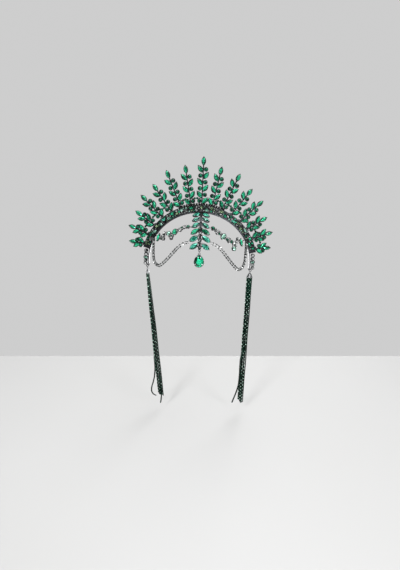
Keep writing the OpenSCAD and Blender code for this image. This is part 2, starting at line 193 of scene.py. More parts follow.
far_left, far_right = (on_floor(column, FLOOR_LINE) for column in FLOOR_ENDS)
bpy.ops.mesh.primitive_plane_add(size=2)
floor = bpy.context.object
floor.name = "floor"
for corner in floor.data.vertices:
    far = far_left if corner.co.x < 0 else far_right
    corner.co = far if corner.co.y > 0 else far - Vector((0, FLOOR_DEPTH, 0))
floor_paint, tree, shader = new_material("floor_paint")
place = add(tree, "TexCoord")
cloud = add(tree, "TexNoise", in_Scale=3)
tint = mix_colours(tree, FLOOR_WHITE, FLOOR_WARMER)
link(
    tree,
    (place, "Object", cloud, "Vector"),
    (cloud, "Fac", tint, FACTOR),
    (tint, MIXED, shader, "Base Color"),
)
shader.inputs["Roughness"].default_value = 0.7
floor.data.materials.append(floor_paint)
print("the floor's far corners:", [[round(v, 2) for v in corner] for corner in (far_left, far_right)])

# %% Room
ROOM_GREY = (0.615, 0.615, 0.615, 1)
DARK_FLAGS = 0.3  # how bright the room is in reflections, in front
BARE_WALL = 1.4  # and behind, where no flags stand
FLAGS_END = (-0.25, 0.35)  # from the flags to the bare wall, along Y
scene = bpy.context.scene
scene.view_settings.view_transform = "Standard"
scene.world = bpy.data.worlds.new("room")
scene.world.use_nodes = True
tree = scene.world.node_tree
room = tree.nodes["Background"]
room.inputs["Color"].default_value = ROOM_GREY
direction = add(tree, "TexCoord")
parts = add(tree, "SeparateXYZ")
around = add(tree, "MapRange", in_To_Min=DARK_FLAGS, in_To_Max=BARE_WALL)
around.inputs["From Min"].default_value, around.inputs["From Max"].default_value = FLAGS_END
ray = add(tree, "LightPath")
flags = add(tree, "MapRange", in_To_Min=1.0)
link(
    tree,
    (direction, "Generated", parts, "Vector"),
    (parts, "Y", around, "Value"),
    (around, "Result", flags, "To Max"),
    (ray, "Is Glossy Ray", flags, "Value"),
    (flags, "Result", room, "Strength"),
)

# %% Lamps
CROWN_MIDDLE = (0, 0, -0.05)
TASSEL_MIDDLE = (0, 0, -0.2)
GLOW_SIZE = (1.6, 0.5)
lamp("key_lamp", (-0.5, -0.75, 0.6), CROWN_MIDDLE, 0.22, 6)
lamp("fill_lamp", (0.7, -0.6, 0.35), CROWN_MIDDLE, 0.3, 2.8)
lamp("top_lamp", (0.1, 0.1, 0.95), CROWN_MIDDLE, 0.6, 6)
lamp("low_lamp", (0.15, -0.9, -0.1), TASSEL_MIDDLE, 0.3, 2.5)
lamp("back_lamp", (0.35, 0.55, 0.6), CROWN_MIDDLE, 0.35, 3)
glow = lamp("back_glow", (0, 0.5, -0.42), CROWN_MIDDLE, 0.5, 10)
glow.data.shape = "RECTANGLE"
glow.data.size, glow.data.size_y = GLOW_SIZE
glow.visible_camera = False

# %% [markdown]
# ## Shared effects
#
# Three effects come back in several finishes, so each is a node group with named inputs. The first
# finds the worn edges of plated metal by comparing the surface's own direction with a rounded one;
# they are paler partly as wear and partly as a painted edge highlight.
# The second gives fine handling marks. The third paints light and shade on a cut stone: each facet
# carries a tone from 0 to 1, from painted shade through the stone's own colour to a painted flash,
# and a broken pattern inside is a painted reflection of the back facets that shine through.


# %% Shared effect helpers
def node_group(name, inputs, outputs):
    """An empty node group, its inputs with their values and its outputs with their kinds."""
    made = bpy.data.node_groups.new(name, "ShaderNodeTree")
    for label, value in inputs.items():
        kind = "NodeSocketColor" if isinstance(value, tuple) else "NodeSocketFloat"
        socket = made.interface.new_socket(name=label, in_out="INPUT", socket_type=kind)
        socket.default_value = value
    for label, kind in outputs.items():
        made.interface.new_socket(name=label, in_out="OUTPUT", socket_type="NodeSocket" + kind)
    return made, made.nodes.new("NodeGroupInput"), made.nodes.new("NodeGroupOutput")


# %% Worn edges, also painted as an edge highlight
edge_wear_and_highlight, take, give = node_group(
    "edge_wear_and_highlight", {"Width": 0.3 * MM, "Strength": 6.0}, {"Wear": "Float"}
)
rounded = add(edge_wear_and_highlight, "Bevel", samples=4)
surface = add(edge_wear_and_highlight, "NewGeometry")
same = add(edge_wear_and_highlight, "VectorMath", operation="DOT_PRODUCT")
differs = add(edge_wear_and_highlight, "Math", operation="SUBTRACT")
differs.inputs[0].default_value = 1.0
stronger = add(edge_wear_and_highlight, "Math", operation="MULTIPLY", use_clamp=True)
link(
    edge_wear_and_highlight,
    (take, "Width", rounded, "Radius"),
    (rounded, "Normal", same, 0),
    (surface, "Normal", same, 1),
    (same, "Value", differs, 1),
    (differs, "Value", stronger, 0),
    (take, "Strength", stronger, 1),
    (stronger, "Value", give, "Wear"),
)

# %% Handling marks
handling, take, give = node_group(
    "handling_marks",
    {"Scale": 900.0, "Low": 0.2, "High": 0.4},
    {"Roughness": "Float", "Height": "Float"},
)
place = add(handling, "TexCoord")
marks = add(handling, "TexNoise", in_Detail=5.0, in_Roughness=0.65)
spread = add(handling, "MapRange", in_From_Min=0.3, in_From_Max=0.7)
link(
    handling,
    (place, "Object", marks, "Vector"),
    (take, "Scale", marks, "Scale"),
    (marks, "Fac", spread, "Value"),
    (take, "Low", spread, "To Min"),
    (take, "High", spread, "To Max"),
    (spread, "Result", give, "Roughness"),
    (marks, "Fac", give, "Height"),
)

# %% Facet colours, with painted light and shade
facet_colour_and_painted_light, take, give = node_group(
    "facet_colour_and_painted_light",
    {"Dark": (0, 0, 0, 1), "Body": (0.5, 0.5, 0.5, 1), "Flash": (1, 1, 1, 1), "Back facets": 0.35},
    {"Colour": "Color"},
)
# the tone of each facet: low is painted shade, high a painted flash
tone = add(facet_colour_and_painted_light, "Attribute", attribute_name="tone")
place = add(facet_colour_and_painted_light, "TexCoord")
# a painted reflection of the back facets: a broken pattern that raises or lowers the tone
back = add(facet_colour_and_painted_light, "TexVoronoi", in_Scale=1100.0, in_Randomness=0.85)
split = add(facet_colour_and_painted_light, "SeparateColor")
centred = add(facet_colour_and_painted_light, "MapRange", in_To_Min=-1.0)
scaled = add(facet_colour_and_painted_light, "Math", operation="MULTIPLY")
strength = add(facet_colour_and_painted_light, "Math", operation="ADD", use_clamp=True)
low_half = add(facet_colour_and_painted_light, "MapRange", in_From_Max=0.5)
high_half = add(facet_colour_and_painted_light, "MapRange", in_From_Min=0.5)
body_mix = mix_colours(facet_colour_and_painted_light)
flash_mix = mix_colours(facet_colour_and_painted_light)
link(
    facet_colour_and_painted_light,
    (place, "Object", back, "Vector"),
    (back, "Color", split, "Color"),
    (split, "Red", centred, "Value"),
    (centred, "Result", scaled, 0),
    (take, "Back facets", scaled, 1),
    (tone, "Fac", strength, 0),
    (scaled, "Value", strength, 1),
    (strength, "Value", low_half, "Value"),
    (strength, "Value", high_half, "Value"),
    (low_half, "Result", body_mix, FACTOR),
    (take, "Dark", body_mix, FIRST),
    (take, "Body", body_mix, SECOND),
    (high_half, "Result", flash_mix, FACTOR),
    (body_mix, MIXED, flash_mix, FIRST),
    (take, "Flash", flash_mix, SECOND),
    (flash_mix, MIXED, give, "Colour"),
)

# %% [markdown]
# ## Finishes
#
# Most of the metal is gunmetal plating, darkest on the claws that hands don't reach, that rubs
# through to a paler grey on its edges; the paler edges are also a painted edge highlight. The
# forehead piece and the garlands have brighter hematite claws, the cup backs too, and the chains
# have a dark plate. The drop's claws are silver and the caps a duller silver. The stones are glass
# with a foil behind: part mirror and part glass, under a clear coat, with light and shade painted on
# each facet.


# %% Metal finishes
# how far the edges turn to their paler colour: wear, and a painted edge highlight
EDGE_WEAR_AND_HIGHLIGHT_SHARE = 0.8


def metal(name, colour, rubbed_and_highlight, low, high):
    """Plated metal whose worn edges are paler, partly as wear and partly as a painted edge highlight, with
    handling marks and a faint unevenness.
    """
    made, tree, shader = new_material(name)
    edges = add(tree, "Group", node_tree=edge_wear_and_highlight, in_Strength=5.0)
    marks = add(tree, "Group", node_tree=handling, in_Low=low, in_High=high)
    amount = add(tree, "Math", operation="MULTIPLY")
    amount.inputs[1].default_value = EDGE_WEAR_AND_HIGHLIGHT_SHARE
    tint = mix_colours(tree, (*colour, 1), (*rubbed_and_highlight, 1))
    bump = add(tree, "Bump", in_Strength=0.15, in_Distance=0.05 * MM)
    link(
        tree,
        (edges, "Wear", amount, 0),
        (amount, "Value", tint, FACTOR),
        (tint, MIXED, shader, "Base Color"),
        (marks, "Roughness", shader, "Roughness"),
        (marks, "Height", bump, "Height"),
        (bump, "Normal", shader, "Normal"),
    )
    shader.inputs["Metallic"].default_value = 1.0
    return made


# each plating: its colour, its paler edge colour for wear and painted edge highlight, and its roughness
gunmetal = metal("gunmetal", (0.016, 0.018, 0.02), (0.11, 0.115, 0.12), 0.22, 0.42)
frame_metal = metal("frame_metal", (0.032, 0.034, 0.038), (0.24, 0.25, 0.26), 0.26, 0.48)
silver = metal("silver_plate", (0.55, 0.56, 0.58), (0.9, 0.9, 0.9), 0.2, 0.38)
dull_silver = metal("dull_silver_plate", (0.2, 0.205, 0.21), (0.6, 0.6, 0.6), 0.28, 0.46)
chain_metal = metal("chain_plate", (0.03, 0.032, 0.034), (0.2, 0.2, 0.2), 0.2, 0.36)
hematite = metal("hematite_plate", (0.09, 0.095, 0.1), (0.4, 0.4, 0.4), 0.18, 0.34)


# %% Stone finishes
def foiled_glass(name, dark, body, flash, mirror=0.3, coat=0.25, back_facets=0.3, gloss=0.3):
    """Cut glass with a foil behind it, its light and shade painted facet by facet."""
    made, tree, shader = new_material(name)
    paint = add(tree, "Group", node_tree=facet_colour_and_painted_light, in_Back_facets=back_facets)
    for label, colour in (("Dark", dark), ("Body", body), ("Flash", flash)):
        paint.inputs[label].default_value = (*colour, 1)
    link(tree, (paint, "Colour", shader, "Base Color"))
    shader.inputs["Metallic"].default_value = mirror
    shader.inputs["Roughness"].default_value = 0.14
    shader.inputs["IOR"].default_value = 1.5
    shader.inputs["Specular IOR Level"].default_value = gloss
    shader.inputs["Coat Weight"].default_value = coat
    shader.inputs["Coat Roughness"].default_value = 0.03
    return made


# each glass: its painted shade, its own colour and its painted flash
emerald = foiled_glass("emerald_glass", (0.0, 0.016, 0.008), (0.003, 0.15, 0.07), (0.05, 0.68, 0.36))
deep_green = foiled_glass("deep_green_glass", (0.0, 0.005, 0.003), (0.001, 0.032, 0.016), (0.02, 0.28, 0.15))
pale_green = foiled_glass("pale_green_glass", (0.01, 0.05, 0.035), (0.11, 0.28, 0.2), (0.5, 0.8, 0.68))
clear = foiled_glass("clear_glass", (0.008, 0.01, 0.009), (0.15, 0.165, 0.16), (0.95, 0.96, 0.96), 0.5)
sea_green = foiled_glass("sea_green_glass", (0.0, 0.03, 0.02), (0.004, 0.19, 0.12), (0.2, 0.82, 0.62))
bright_green = foiled_glass("bright_green_glass", (0.0, 0.012, 0.006), (0.0, 0.12, 0.06), (0.03, 0.9, 0.46))
sage = foiled_glass("sage_glass", (0.004, 0.01, 0.004), (0.055, 0.105, 0.045), (0.42, 0.6, 0.36), 0.4)
smoke = foiled_glass("smoke_glass", (0.004, 0.005, 0.005), (0.03, 0.034, 0.033), (0.4, 0.42, 0.41), 0.4)
jet = foiled_glass(
    "jet_glass", (0.001, 0.001, 0.001), (0.004, 0.005, 0.005), (0.03, 0.04, 0.035), 0, 0.15, 0.3, 0.15
)
print("finishes:", [m.name for m in bpy.data.materials])

# %% [markdown]
# ## Cutting the stones
#
# A lapidary starts with a rough and grinds one flat facet after another. Bisect does the same: it
# cuts the rough along a plane, throws the outside away and closes the cut. The outline of each cut
# is the same rule as in the frame's solids: t runs around the stone, from its upper tip. Masters are
# cut in millimetres, with the back at 0 and the table on top.

# %% Outlines of the stones
MARQUISE, ROUND, BAGUETTE, PEAR = "marquise", "round", "baguette", "pear"
MASTER_SIZE = {MARQUISE: (5, 10), ROUND: (4, 4), BAGUETTE: (3, 6), PEAR: (11, 14.5)}  # width, length
CUT_H = 2.2
PEAR_CUT_H = 3.4
GIRDLE_Z = 0.85
TABLE_SHARE = 0.55
STAR_LOW = (0.76, 0.58)  # where a star facet begins: share of the outline and of the crown's height
STAR_TABLE = 0.49
LEAF_TIP = 0.6  # the higher, the more pointed
PEAR_TIP = 0.4
PEAR_BULGE = 1.13  # makes up for the width that its tip takes away


def edge_point(shape, t, length, width):
    """A point on the edge of a stone, in millimetres."""
    s, c = math.sin(t), math.cos(t)
    if shape == MARQUISE:
        s *= abs(s) ** LEAF_TIP
    elif shape == BAGUETTE:
        s, c = (math.copysign(math.sqrt(abs(v)), v) for v in (s, c))
    elif shape == PEAR:
        s *= PEAR_BULGE * max(math.sin(t / 2), 0) ** PEAR_TIP
    return Vector((width / 2 * s, length / 2 * c))


def reach(shape, angle, length, width):
    """How far the stone's edge reaches in a direction, which is where a flat side is ground."""
    way = Vector((math.cos(angle), math.sin(angle)))
    return max(edge_point(shape, k * math.pi / 90, length, width).dot(way) for k in range(180))


# %% Grinding the facets
def grind(point, normal):
    """Grind one facet: what lies outside the plane goes, and the cut is closed."""
    bpy.ops.mesh.select_all(action="SELECT")
    bpy.ops.mesh.bisect(
        plane_co=point, plane_no=normal, use_fill=True, clear_outer=True, threshold=1e-5
    )


def start_master(name, add_shape, **settings):
    """A basic shape to be modelled in millimetres, at its place and open in edit mode."""
    bpy.ops.object.select_all(action="DESELECT")
    add_shape(**settings)
    bpy.context.object.name = name
    bpy.ops.object.transform_apply(location=True, rotation=True, scale=True)
    bpy.ops.object.mode_set(mode="EDIT")
    return bpy.context.object


def grind_ring(shape, angles, length, width, low, high):
    """Grind a ring of facets. Low and high are where each begins and ends: share of the outline, height."""
    for angle in angles:
        far = reach(shape, angle, length, width)
        out = Vector((math.cos(angle), math.sin(angle), 0))
        start = out * (far * low[0]) + Vector((0, 0, low[1]))
        end = out * (far * high[0]) + Vector((0, 0, high[1]))
        along = end - start
        normal = out * along.z - Vector((0, 0, 1)) * along.dot(out)
        grind(start, normal.normalized())


def even(count, first=0.0):
    """Angles of a full ring, in radians."""
    return [first + k * 2 * math.pi / count for k in range(count)]


ROUGH_SHARE = 1.5  # of the stone's length and width


def cut_stone(name, shape, sides, crown, stars, height=CUT_H):
    """A cut stone: its sides, the crown's main facets, and the star facets around its table."""
    width, length = MASTER_SIZE[shape]
    middle, size = (0, 0, height / 2), (width * ROUGH_SHARE, length * ROUGH_SHARE, height)
    stone = start_master(name, bpy.ops.mesh.primitive_cube_add, size=1, location=middle, scale=size)
    star_z = GIRDLE_Z + STAR_LOW[1] * (height - GIRDLE_Z)
    grind_ring(shape, sides, length, width, (1, 0), (1, 1))
    grind_ring(shape, crown, length, width, (1, GIRDLE_Z), (TABLE_SHARE, height))
    grind_ring(shape, stars, length, width, (STAR_LOW[0], star_z), (STAR_TABLE, height))
    bpy.ops.object.mode_set(mode="OBJECT")
    print(name, len(stone.data.polygons), "facets")
    return stone


# %% Cut one stone of each kind
def flanks(*turns):
    """Angles on both flanks of a leaf, each turned both ways from the flank's middle, in radians."""
    return [math.radians(flank + way * turn) for flank in (0, 180) for turn in turns for way in (1, -1)]


leaf_sides = sorted(set(flanks(0, 22, 44)))
square = even(4) + even(4, math.pi / 4)  # four sides and four corners
masters = {
    MARQUISE: cut_stone("marquise_cut", MARQUISE, leaf_sides, leaf_sides, flanks(11, 33)),
    ROUND: cut_stone("round_cut", ROUND, even(16), even(8), even(8, math.pi / 8)),
    BAGUETTE: cut_stone("baguette_cut", BAGUETTE, square, square, even(4)),
    PEAR: cut_stone("pear_cut", PEAR, even(20), even(10), even(10, math.pi / 10), PEAR_CUT_H),
}
small_round = cut_stone("small_cut", ROUND, even(8), even(8), [])

# %% [markdown]
# ## Reading the seats
#
# Every stone's place, direction and size are in the frame, as a small solid with its flat back on
# the metal. A copy of the node is merged, its flat sides are joined, and it is taken apart into
# single stones. The back is the largest face, its normal points into the metal, and the longer
# direction of its corners is the stone's length.

# %% Seat reader
Seat = namedtuple("Seat", "shape centre across along normal length width")
BACK_FILL = {MARQUISE: 0.67, ROUND: 0.80}  # largest share of its rectangle that a back fills
BAGUETTE_FULL = 0.961  # how far a baguette's corners reach of its length and width
ROUND_UNTIL = 1.09  # a stone that is longer by less is round


def solids_of(node):
    """The single solids of a CAD node, as merged copies with flat sides."""
    copy = nodes[node].copy()
    copy.data = copy.data.copy()
    bpy.context.scene.collection.objects.link(copy)
    pick(copy)
    bpy.ops.object.mode_set(mode="EDIT")
    bpy.ops.mesh.select_all(action="SELECT")
    bpy.ops.mesh.remove_doubles(threshold=1e-6)
    bpy.ops.mesh.dissolve_limited(angle_limit=math.radians(1))
    bpy.ops.mesh.separate(type="LOOSE")
    bpy.ops.object.mode_set(mode="OBJECT")
    return list(bpy.context.selected_objects)


def seat_of(solid):
    """Where one stone sits, from its back."""
    back = max(solid.data.polygons, key=lambda face: face.area)
    ring = [solid.data.vertices[i].co.copy() for i in back.vertices]
    centre = sum(ring, Vector()) / len(ring)
    normal = -back.normal
    first = normal.orthogonal().normalized()
    second = normal.cross(first)
    flat = [((p - centre).dot(first), (p - centre).dot(second)) for p in ring]
    spread = sum(u * u for u, v in flat) - sum(v * v for u, v in flat)
    turn = math.atan2(2 * sum(u * v for u, v in flat), spread) / 2
    along = first * math.cos(turn) + second * math.sin(turn)
    across = along.cross(normal)
    length = 2 * max(abs((p - centre).dot(along)) for p in ring) / MM
    width = 2 * max(abs((p - centre).dot(across)) for p in ring) / MM
    if length < width * ROUND_UNTIL:
        length = width = 2 * max((p - centre).length for p in ring) / MM
    filled = back.area / MM**2 / (length * width)
    shape = next((name for name, most in BACK_FILL.items() if filled < most), BAGUETTE)
    if shape == BAGUETTE:
        length, width = length / BAGUETTE_FULL, width / BAGUETTE_FULL
    return Seat(shape, centre, across, along, normal, length, width)


def read_seats(node):
    """The seats of all stones of a CAD node, from the top down."""
    solids = solids_of(node)
    seats = [seat_of(solid) for solid in solids]
    for solid in solids:
        bpy.data.objects.remove(solid)
    return sorted(seats, key=lambda seat: -seat.centre.z)


# %% Read them all
stone_nodes = [name for name in sorted(nodes) if "stones" in name]
sprig_nodes = [name for name in stone_nodes if name.startswith("stones_")]
seats = {name: read_seats(name) for name in stone_nodes}
pear_low, pear_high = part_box("pear_stone")
for name in ("stones_c", "band_stones", "garland_stones_l", "side_stones_r"):
    print(name, len(seats[name]), [(s.shape, round(s.length, 1), round(s.width, 1)) for s in seats[name][:4]])
print("stones in all:", sum(len(found) for found in seats.values()) + 1)

# %% [markdown]
# ## Setting the stones
#
# A stone is modelled once and copied into each seat, stretched to the seat's length and width. Each
# copy gets its own tones of painted light and shade: the table is even, one flank of the crown is
# painted bright as if lit and the other painted in shade, with an odd facet here and there, and the
# sides near the metal are painted in shade. The stones of one node are then joined into one piece.


# %% Setting helpers
def into_place(centre, across, along, normal, scale=(1, 1, 1)):
    """The matrix that takes a master in millimetres to a place in the frame, in metres."""
    columns = (across * scale[0] * MM, along * scale[1] * MM, normal * scale[2] * MM)
    return Matrix.Translation(centre) @ Matrix(columns).transposed().to_4x4()


def at_seat(seat, scale):
    """The matrix that takes a master to a seat, stretched."""
    return into_place(seat.centre, seat.across, seat.along, seat.normal, scale)


def outwards(found):
    """Seats in order from the middle of the crown."""
    return sorted(found, key=lambda seat: abs(seat.centre.x))


def copy_into(master, matrix, finish):
    """A copy of a master with its own mesh, in place, in one finish."""
    mesh = master.data.copy()
    mesh.transform(matrix)
    mesh.materials.clear()
    mesh.materials.append(finish)
    made = bpy.data.objects.new(master.name, mesh)
    bpy.context.scene.collection.objects.link(made)
    return made


# %% Painted light and shade of the facets
ODD_FACETS = 0.15  # share of facets that are not like the rest of their flank
PAINTED_BRIGHT_FACETS = 0.45  # share of facets painted bright in a small stone, which has no flank painted bright
SIDES_BELOW = 0.1  # a facet whose direction rises less is one of the sides
FLANK_TURN = 0.5  # how far the flank painted bright may turn towards the stone's ends
# ranges of tones: the bright ones are painted light, the dark ones and the sides' are painted shade
TABLE_TONES = (0.42, 0.72)
PAINTED_LIGHT_TONES = (0.6, 1.0)
DULL_TONES = (0.08, 0.45)
PAINTED_SHADE_TONES = (0.0, 0.25)
SIDE_SHADE_TONES = (0.0, 0.2)


def paint_light_and_shade(piece, level, painted_light_way=None, table=TABLE_TONES):
    """Give each facet of a stone its tone, its painted light and shade; level makes the whole stone darker or
    brighter.
    """
    faces = piece.data.polygons
    back, top = sorted(range(len(faces)), key=lambda i: -faces[i].area)[:2]
    up = -faces[back].normal
    tones = []
    for i, face in enumerate(faces):
        if i == top:
            likely = table
        elif face.normal.dot(up) < SIDES_BELOW:
            likely = SIDE_SHADE_TONES
        elif painted_light_way is None:
            likely = PAINTED_LIGHT_TONES if chance.random() < PAINTED_BRIGHT_FACETS else DULL_TONES
        # the flank that faces the chosen way is painted bright as if lit, the other painted in shade
        elif (face.normal.dot(painted_light_way) > 0) != (chance.random() < ODD_FACETS):
            likely = PAINTED_LIGHT_TONES
        else:
            likely = PAINTED_SHADE_TONES
        tones.append(min(max(chance.uniform(*likely) + level, 0), 1))
    layer = piece.data.attributes.new("tone", "FLOAT", "FACE")
    layer.data.foreach_set("value", tones)


# %% Setting one stone and joining many
def set_stone(seat, finish, level, **facets):
    """One stone in its seat, with the flank painted bright as if lit on one side or the other."""
    width, length = MASTER_SIZE[seat.shape]
    scale = (seat.width / width, seat.length / length, 1)
    stone = copy_into(masters[seat.shape], at_seat(seat, scale), finish)
    painted_light_way = seat.across * chance.choice((-1, 1))
    painted_light_way += seat.along * chance.uniform(-FLANK_TURN, FLANK_TURN)
    paint_light_and_shade(stone, level, painted_light_way, **facets)
    return stone


def fuse(pieces, name, body, slot, *stands_for):
    """Join pieces into one that rides on a body; slot is not used."""
    pick(*pieces)
    bpy.ops.object.join()
    made = bpy.context.object
    made.name = name
    made.data.name = name
    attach(made, body)
    if stands_for:
        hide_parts(*stands_for)
    return made


# %% Sprig stones
LEAF_LEVELS = (-0.12, 0.1)
BUD_LEVELS = (-0.15, 0.1)
for name in sprig_nodes:
    stones = []
    for seat in seats[name]:
        if seat.shape == MARQUISE:
            stones.append(set_stone(seat, emerald, chance.uniform(*LEAF_LEVELS)))
        else:
            stones.append(set_stone(seat, deep_green, chance.uniform(*BUD_LEVELS)))
    fuse(stones, "cut_" + name, "crown", "emerald_stone", name)
print("sprig stones set")

# %% Forehead piece, garlands and side crystals
FOREHEAD_LEVELS = (-0.25, 0.05)
GARLAND_LEVELS = (0, 0.15)
SIDE_LEVELS = (-0.15, 0.15)
GARLAND_FINISHES = {
    "l": [deep_green, clear, clear, emerald, clear, pale_green, clear, smoke, emerald],
    "r": [deep_green, clear, pale_green, smoke, clear, pale_green, clear, emerald],
}
stones = []
for seat in seats["leaf_stones"]:
    glass = chance.choice([emerald, sea_green]) if seat.shape == MARQUISE else clear
    stones.append(set_stone(seat, glass, chance.uniform(*FOREHEAD_LEVELS)))
fuse(stones, "cut_leaf_stones", "crown", "emerald_stone", "leaf_stones")
for side, finishes in GARLAND_FINISHES.items():
    node = "garland_stones_" + side
    stones = []
    for seat, glass in zip(outwards(seats[node]), finishes):
        stones.append(set_stone(seat, glass, chance.uniform(*GARLAND_LEVELS)))
    fuse(stones, "cut_" + node, "crown", "pale_stone", node)
    node = "side_stones_" + side
    stones = []
    for seat in seats[node]:
        glass = pale_green if seat.shape == BAGUETTE else clear
        stones.append(set_stone(seat, glass, chance.uniform(*SIDE_LEVELS)))
    fuse(stones, "cut_" + node, "crown", "clear_stone", node)

# %% The pear stone
PEAR_TABLE_HIGHLIGHT = (0.9, 0.95)  # the tones of its table, painted bright as a highlight
PEAR_LEVEL = -0.12
pear_seat = Seat(
    PEAR,
    Vector((0, pear_high.y, (pear_low.z + pear_high.z) / 2)),
    Vector((1, 0, 0)),
    Vector((0, 0, 1)),
    Vector((0, -1, 0)),
    (pear_high.z - pear_low.z) / MM,
    (pear_high.x - pear_low.x) / MM,
)
pear = set_stone(pear_seat, bright_green, PEAR_LEVEL, table=PEAR_TABLE_HIGHLIGHT)
fuse([pear], "cut_pear_stone", "drop", "emerald_stone", "pear_stone")
print("pear", round(pear_seat.length, 1), "x", round(pear_seat.width, 1))

# %% Band stones
OVAL_FINISHES = [pale_green, emerald, sage, sea_green]
ROUND_FINISHES = [clear, sage, pale_green, smoke, emerald, deep_green]
BAND_LEVELS = (-0.1, 0.15)
stones = []
for seat in seats["band_stones"]:
    oval = seat.length > seat.width
    glass = chance.choice(OVAL_FINISHES if oval else ROUND_FINISHES)
    stones.append(set_stone(seat, glass, chance.uniform(*BAND_LEVELS)))
fuse(stones, "cut_band_stones", "crown", "pale_stone", "band_stones")

# %% [markdown]
# ## Claws and cups
#
# On the bench a stone is held by claws: short wires on the wall of its cup, bent over the edge once
# the stone sits. One claw is made from a six-sided wire whose end is extruded twice, inwards and
# thinner. A leaf gets two strong claws at its points and two on each flank, and the other stones get
# four. The round stones of the garlands, and later all the small stones, sit in a raised cup of
# their own.

# %% One claw and one cup
CLAW_R = 0.34
CLAW_WIRE = 0.8  # its length, upright on the wall of the cup
CLAW_OUT = 0.42  # from the edge of the stone to the wire
CLAW_BENDS = [((-0.26, 0, 0.42), 0.9), ((-0.46, 0, 0.16), 0.66)]  # where its end moves, and its size there
CUP_D = 4  # the stone that the cup master fits
CUP_WALL = 0.42
CUP_RIM = 0.75  # share of the wall that is level
CUP_H = 1.25
CUP_TOP = 0.9
CUP_DEPTH = 0.6


def faces_facing(way, least=0.9):
    """In edit mode, select only the faces of the open mesh that look in a direction."""
    bpy.ops.mesh.select_all(action="DESELECT")
    bpy.ops.object.mode_set(mode="OBJECT")
    for face in bpy.context.object.data.polygons:
        face.select = face.normal.dot(Vector(way)) > least
    bpy.ops.object.mode_set(mode="EDIT")


def extrude(move, size=1.0):
    """Extrude the selected faces, move them and change their size about their own middle."""
    bpy.ops.mesh.extrude_region_move(TRANSFORM_OT_translate={"value": move})
    bpy.ops.transform.resize(value=(size, size, size))


def finish_master(angle=40):
    """Leave edit mode with the faces outwards, smooth but for the sharp edges."""
    bpy.ops.mesh.select_all(action="SELECT")
    bpy.ops.mesh.normals_make_consistent(inside=False)
    bpy.ops.object.mode_set(mode="OBJECT")
    bpy.ops.object.shade_smooth_by_angle(angle=math.radians(angle))
    return bpy.context.object


cylinder = bpy.ops.mesh.primitive_cylinder_add
claw_middle = (CLAW_OUT, 0, CLAW_WIRE / 2)
start_master("claw", cylinder, vertices=6, radius=CLAW_R, depth=CLAW_WIRE, location=claw_middle)
faces_facing((0, 0, 1))
for move, size in CLAW_BENDS:
    extrude(move, size)
claw = finish_master(60)

cup_middle = (0, 0, CUP_TOP - CUP_H / 2)
start_master("cup", cylinder, vertices=12, radius=CUP_D / 2 + CUP_WALL, depth=CUP_H, location=cup_middle)
faces_facing((0, 0, 1))
bpy.ops.mesh.inset(thickness=CUP_WALL * CUP_RIM)
extrude((0, 0, -CUP_DEPTH))
cup = finish_master()
print("claw", len(claw.data.polygons), "faces, cup", len(cup.data.polygons), "faces")

# %% Setting the claws
LEAF_CLAWS = [(0, 1.6), (180, 1.6), (52, 0.9), (128, 0.9), (232, 0.9), (308, 0.9)]  # turn, size
ROUND_CLAWS = [(45, 1), (135, 1), (225, 1), (315, 1)]
PEAR_CLAWS = [(36, 2.3), (324, 2.3), (122, 2.8), (238, 2.8)]
PEAR_CLAW_H = 1.7
PEAR_CLAW_IN = 0.9  # mm from the edge of the stone


def set_claw(seat, turn, size, finish, inwards=0.0, height=None):
    """One claw on the edge of a stone, at a turn in degrees from its upper point."""
    t = math.radians(turn)
    place, before, after = (edge_point(seat.shape, t + d, seat.length, seat.width) for d in (0, -0.05, 0.05))
    tangent = (after - before).normalized()
    out = seat.along * tangent.x - seat.across * tangent.y
    side = seat.normal.cross(out)
    spot = seat.centre + (seat.across * place.x + seat.along * place.y - out * inwards) * MM
    return copy_into(claw, into_place(spot, out, side, seat.normal, (size, size, height or size)), finish)


def claws_for(found, finish):
    """All claws for a list of seats."""
    made = []
    for seat in found:
        for turn, size in LEAF_CLAWS if seat.shape == MARQUISE else ROUND_CLAWS:
            made.append(set_claw(seat, turn, size, finish))
    return made


def set_cup(seat, finish):
    """A raised cup around a round or oval stone."""
    return copy_into(cup, at_seat(seat, (seat.width / CUP_D, seat.length / CUP_D, 1)), finish)


for name in sprig_nodes + ["leaf_stones"]:
    plating = hematite if name == "leaf_stones" else gunmetal
    fuse(claws_for(seats[name], plating), "claws_" + name, "crown", "dark_metal")
for side in SIDES:
    found = seats["garland_stones_" + side]
    pieces = claws_for(found, hematite)
    pieces += [set_cup(seat, hematite) for seat in found if seat.shape == ROUND]
    fuse(pieces, "claws_garland_" + side, "crown", "dark_metal")
    fuse(claws_for(seats["side_stones_" + side], gunmetal), "claws_side_" + side, "crown", "dark_metal")
pear_claws = [
    set_claw(pear_seat, turn, size, silver, PEAR_CLAW_IN, PEAR_CLAW_H) for turn, size in PEAR_CLAWS
]
fuse(pear_claws, "claws_pear", "drop", "silver_metal")
print("claws set")

# %% [markdown]
# ## Backs of the cups
#
# Seen from behind, every stone of the sprigs, the forehead piece, the garlands and the drop shows as
# the closed back of its pressed cup, a low pillow of metal. One round pillow is made by inset and
# lift, twice, and its copies are stretched to the stones. A ray from behind finds where each sits.

# %% One pillow and its copies
PILLOW_SHARE = 0.82  # of the stone's length and width
PILLOW_BASE = 0.4
PILLOW_STEPS = [(0.3, 0.18), (0.6, 0.16)]  # inwards and up
BEHIND = 4  # mm behind a stone, where the ray starts
PEAR_PILLOW_H = 2.4  # times the height of the others
start_master("pillow", cylinder, vertices=12, radius=CUP_D / 2, depth=PILLOW_BASE)
faces_facing((0, 0, 1))
for inwards, lift in PILLOW_STEPS:
    bpy.ops.mesh.inset(thickness=inwards)
    bpy.ops.transform.translate(value=(0, 0, lift))
pillow = finish_master(75)


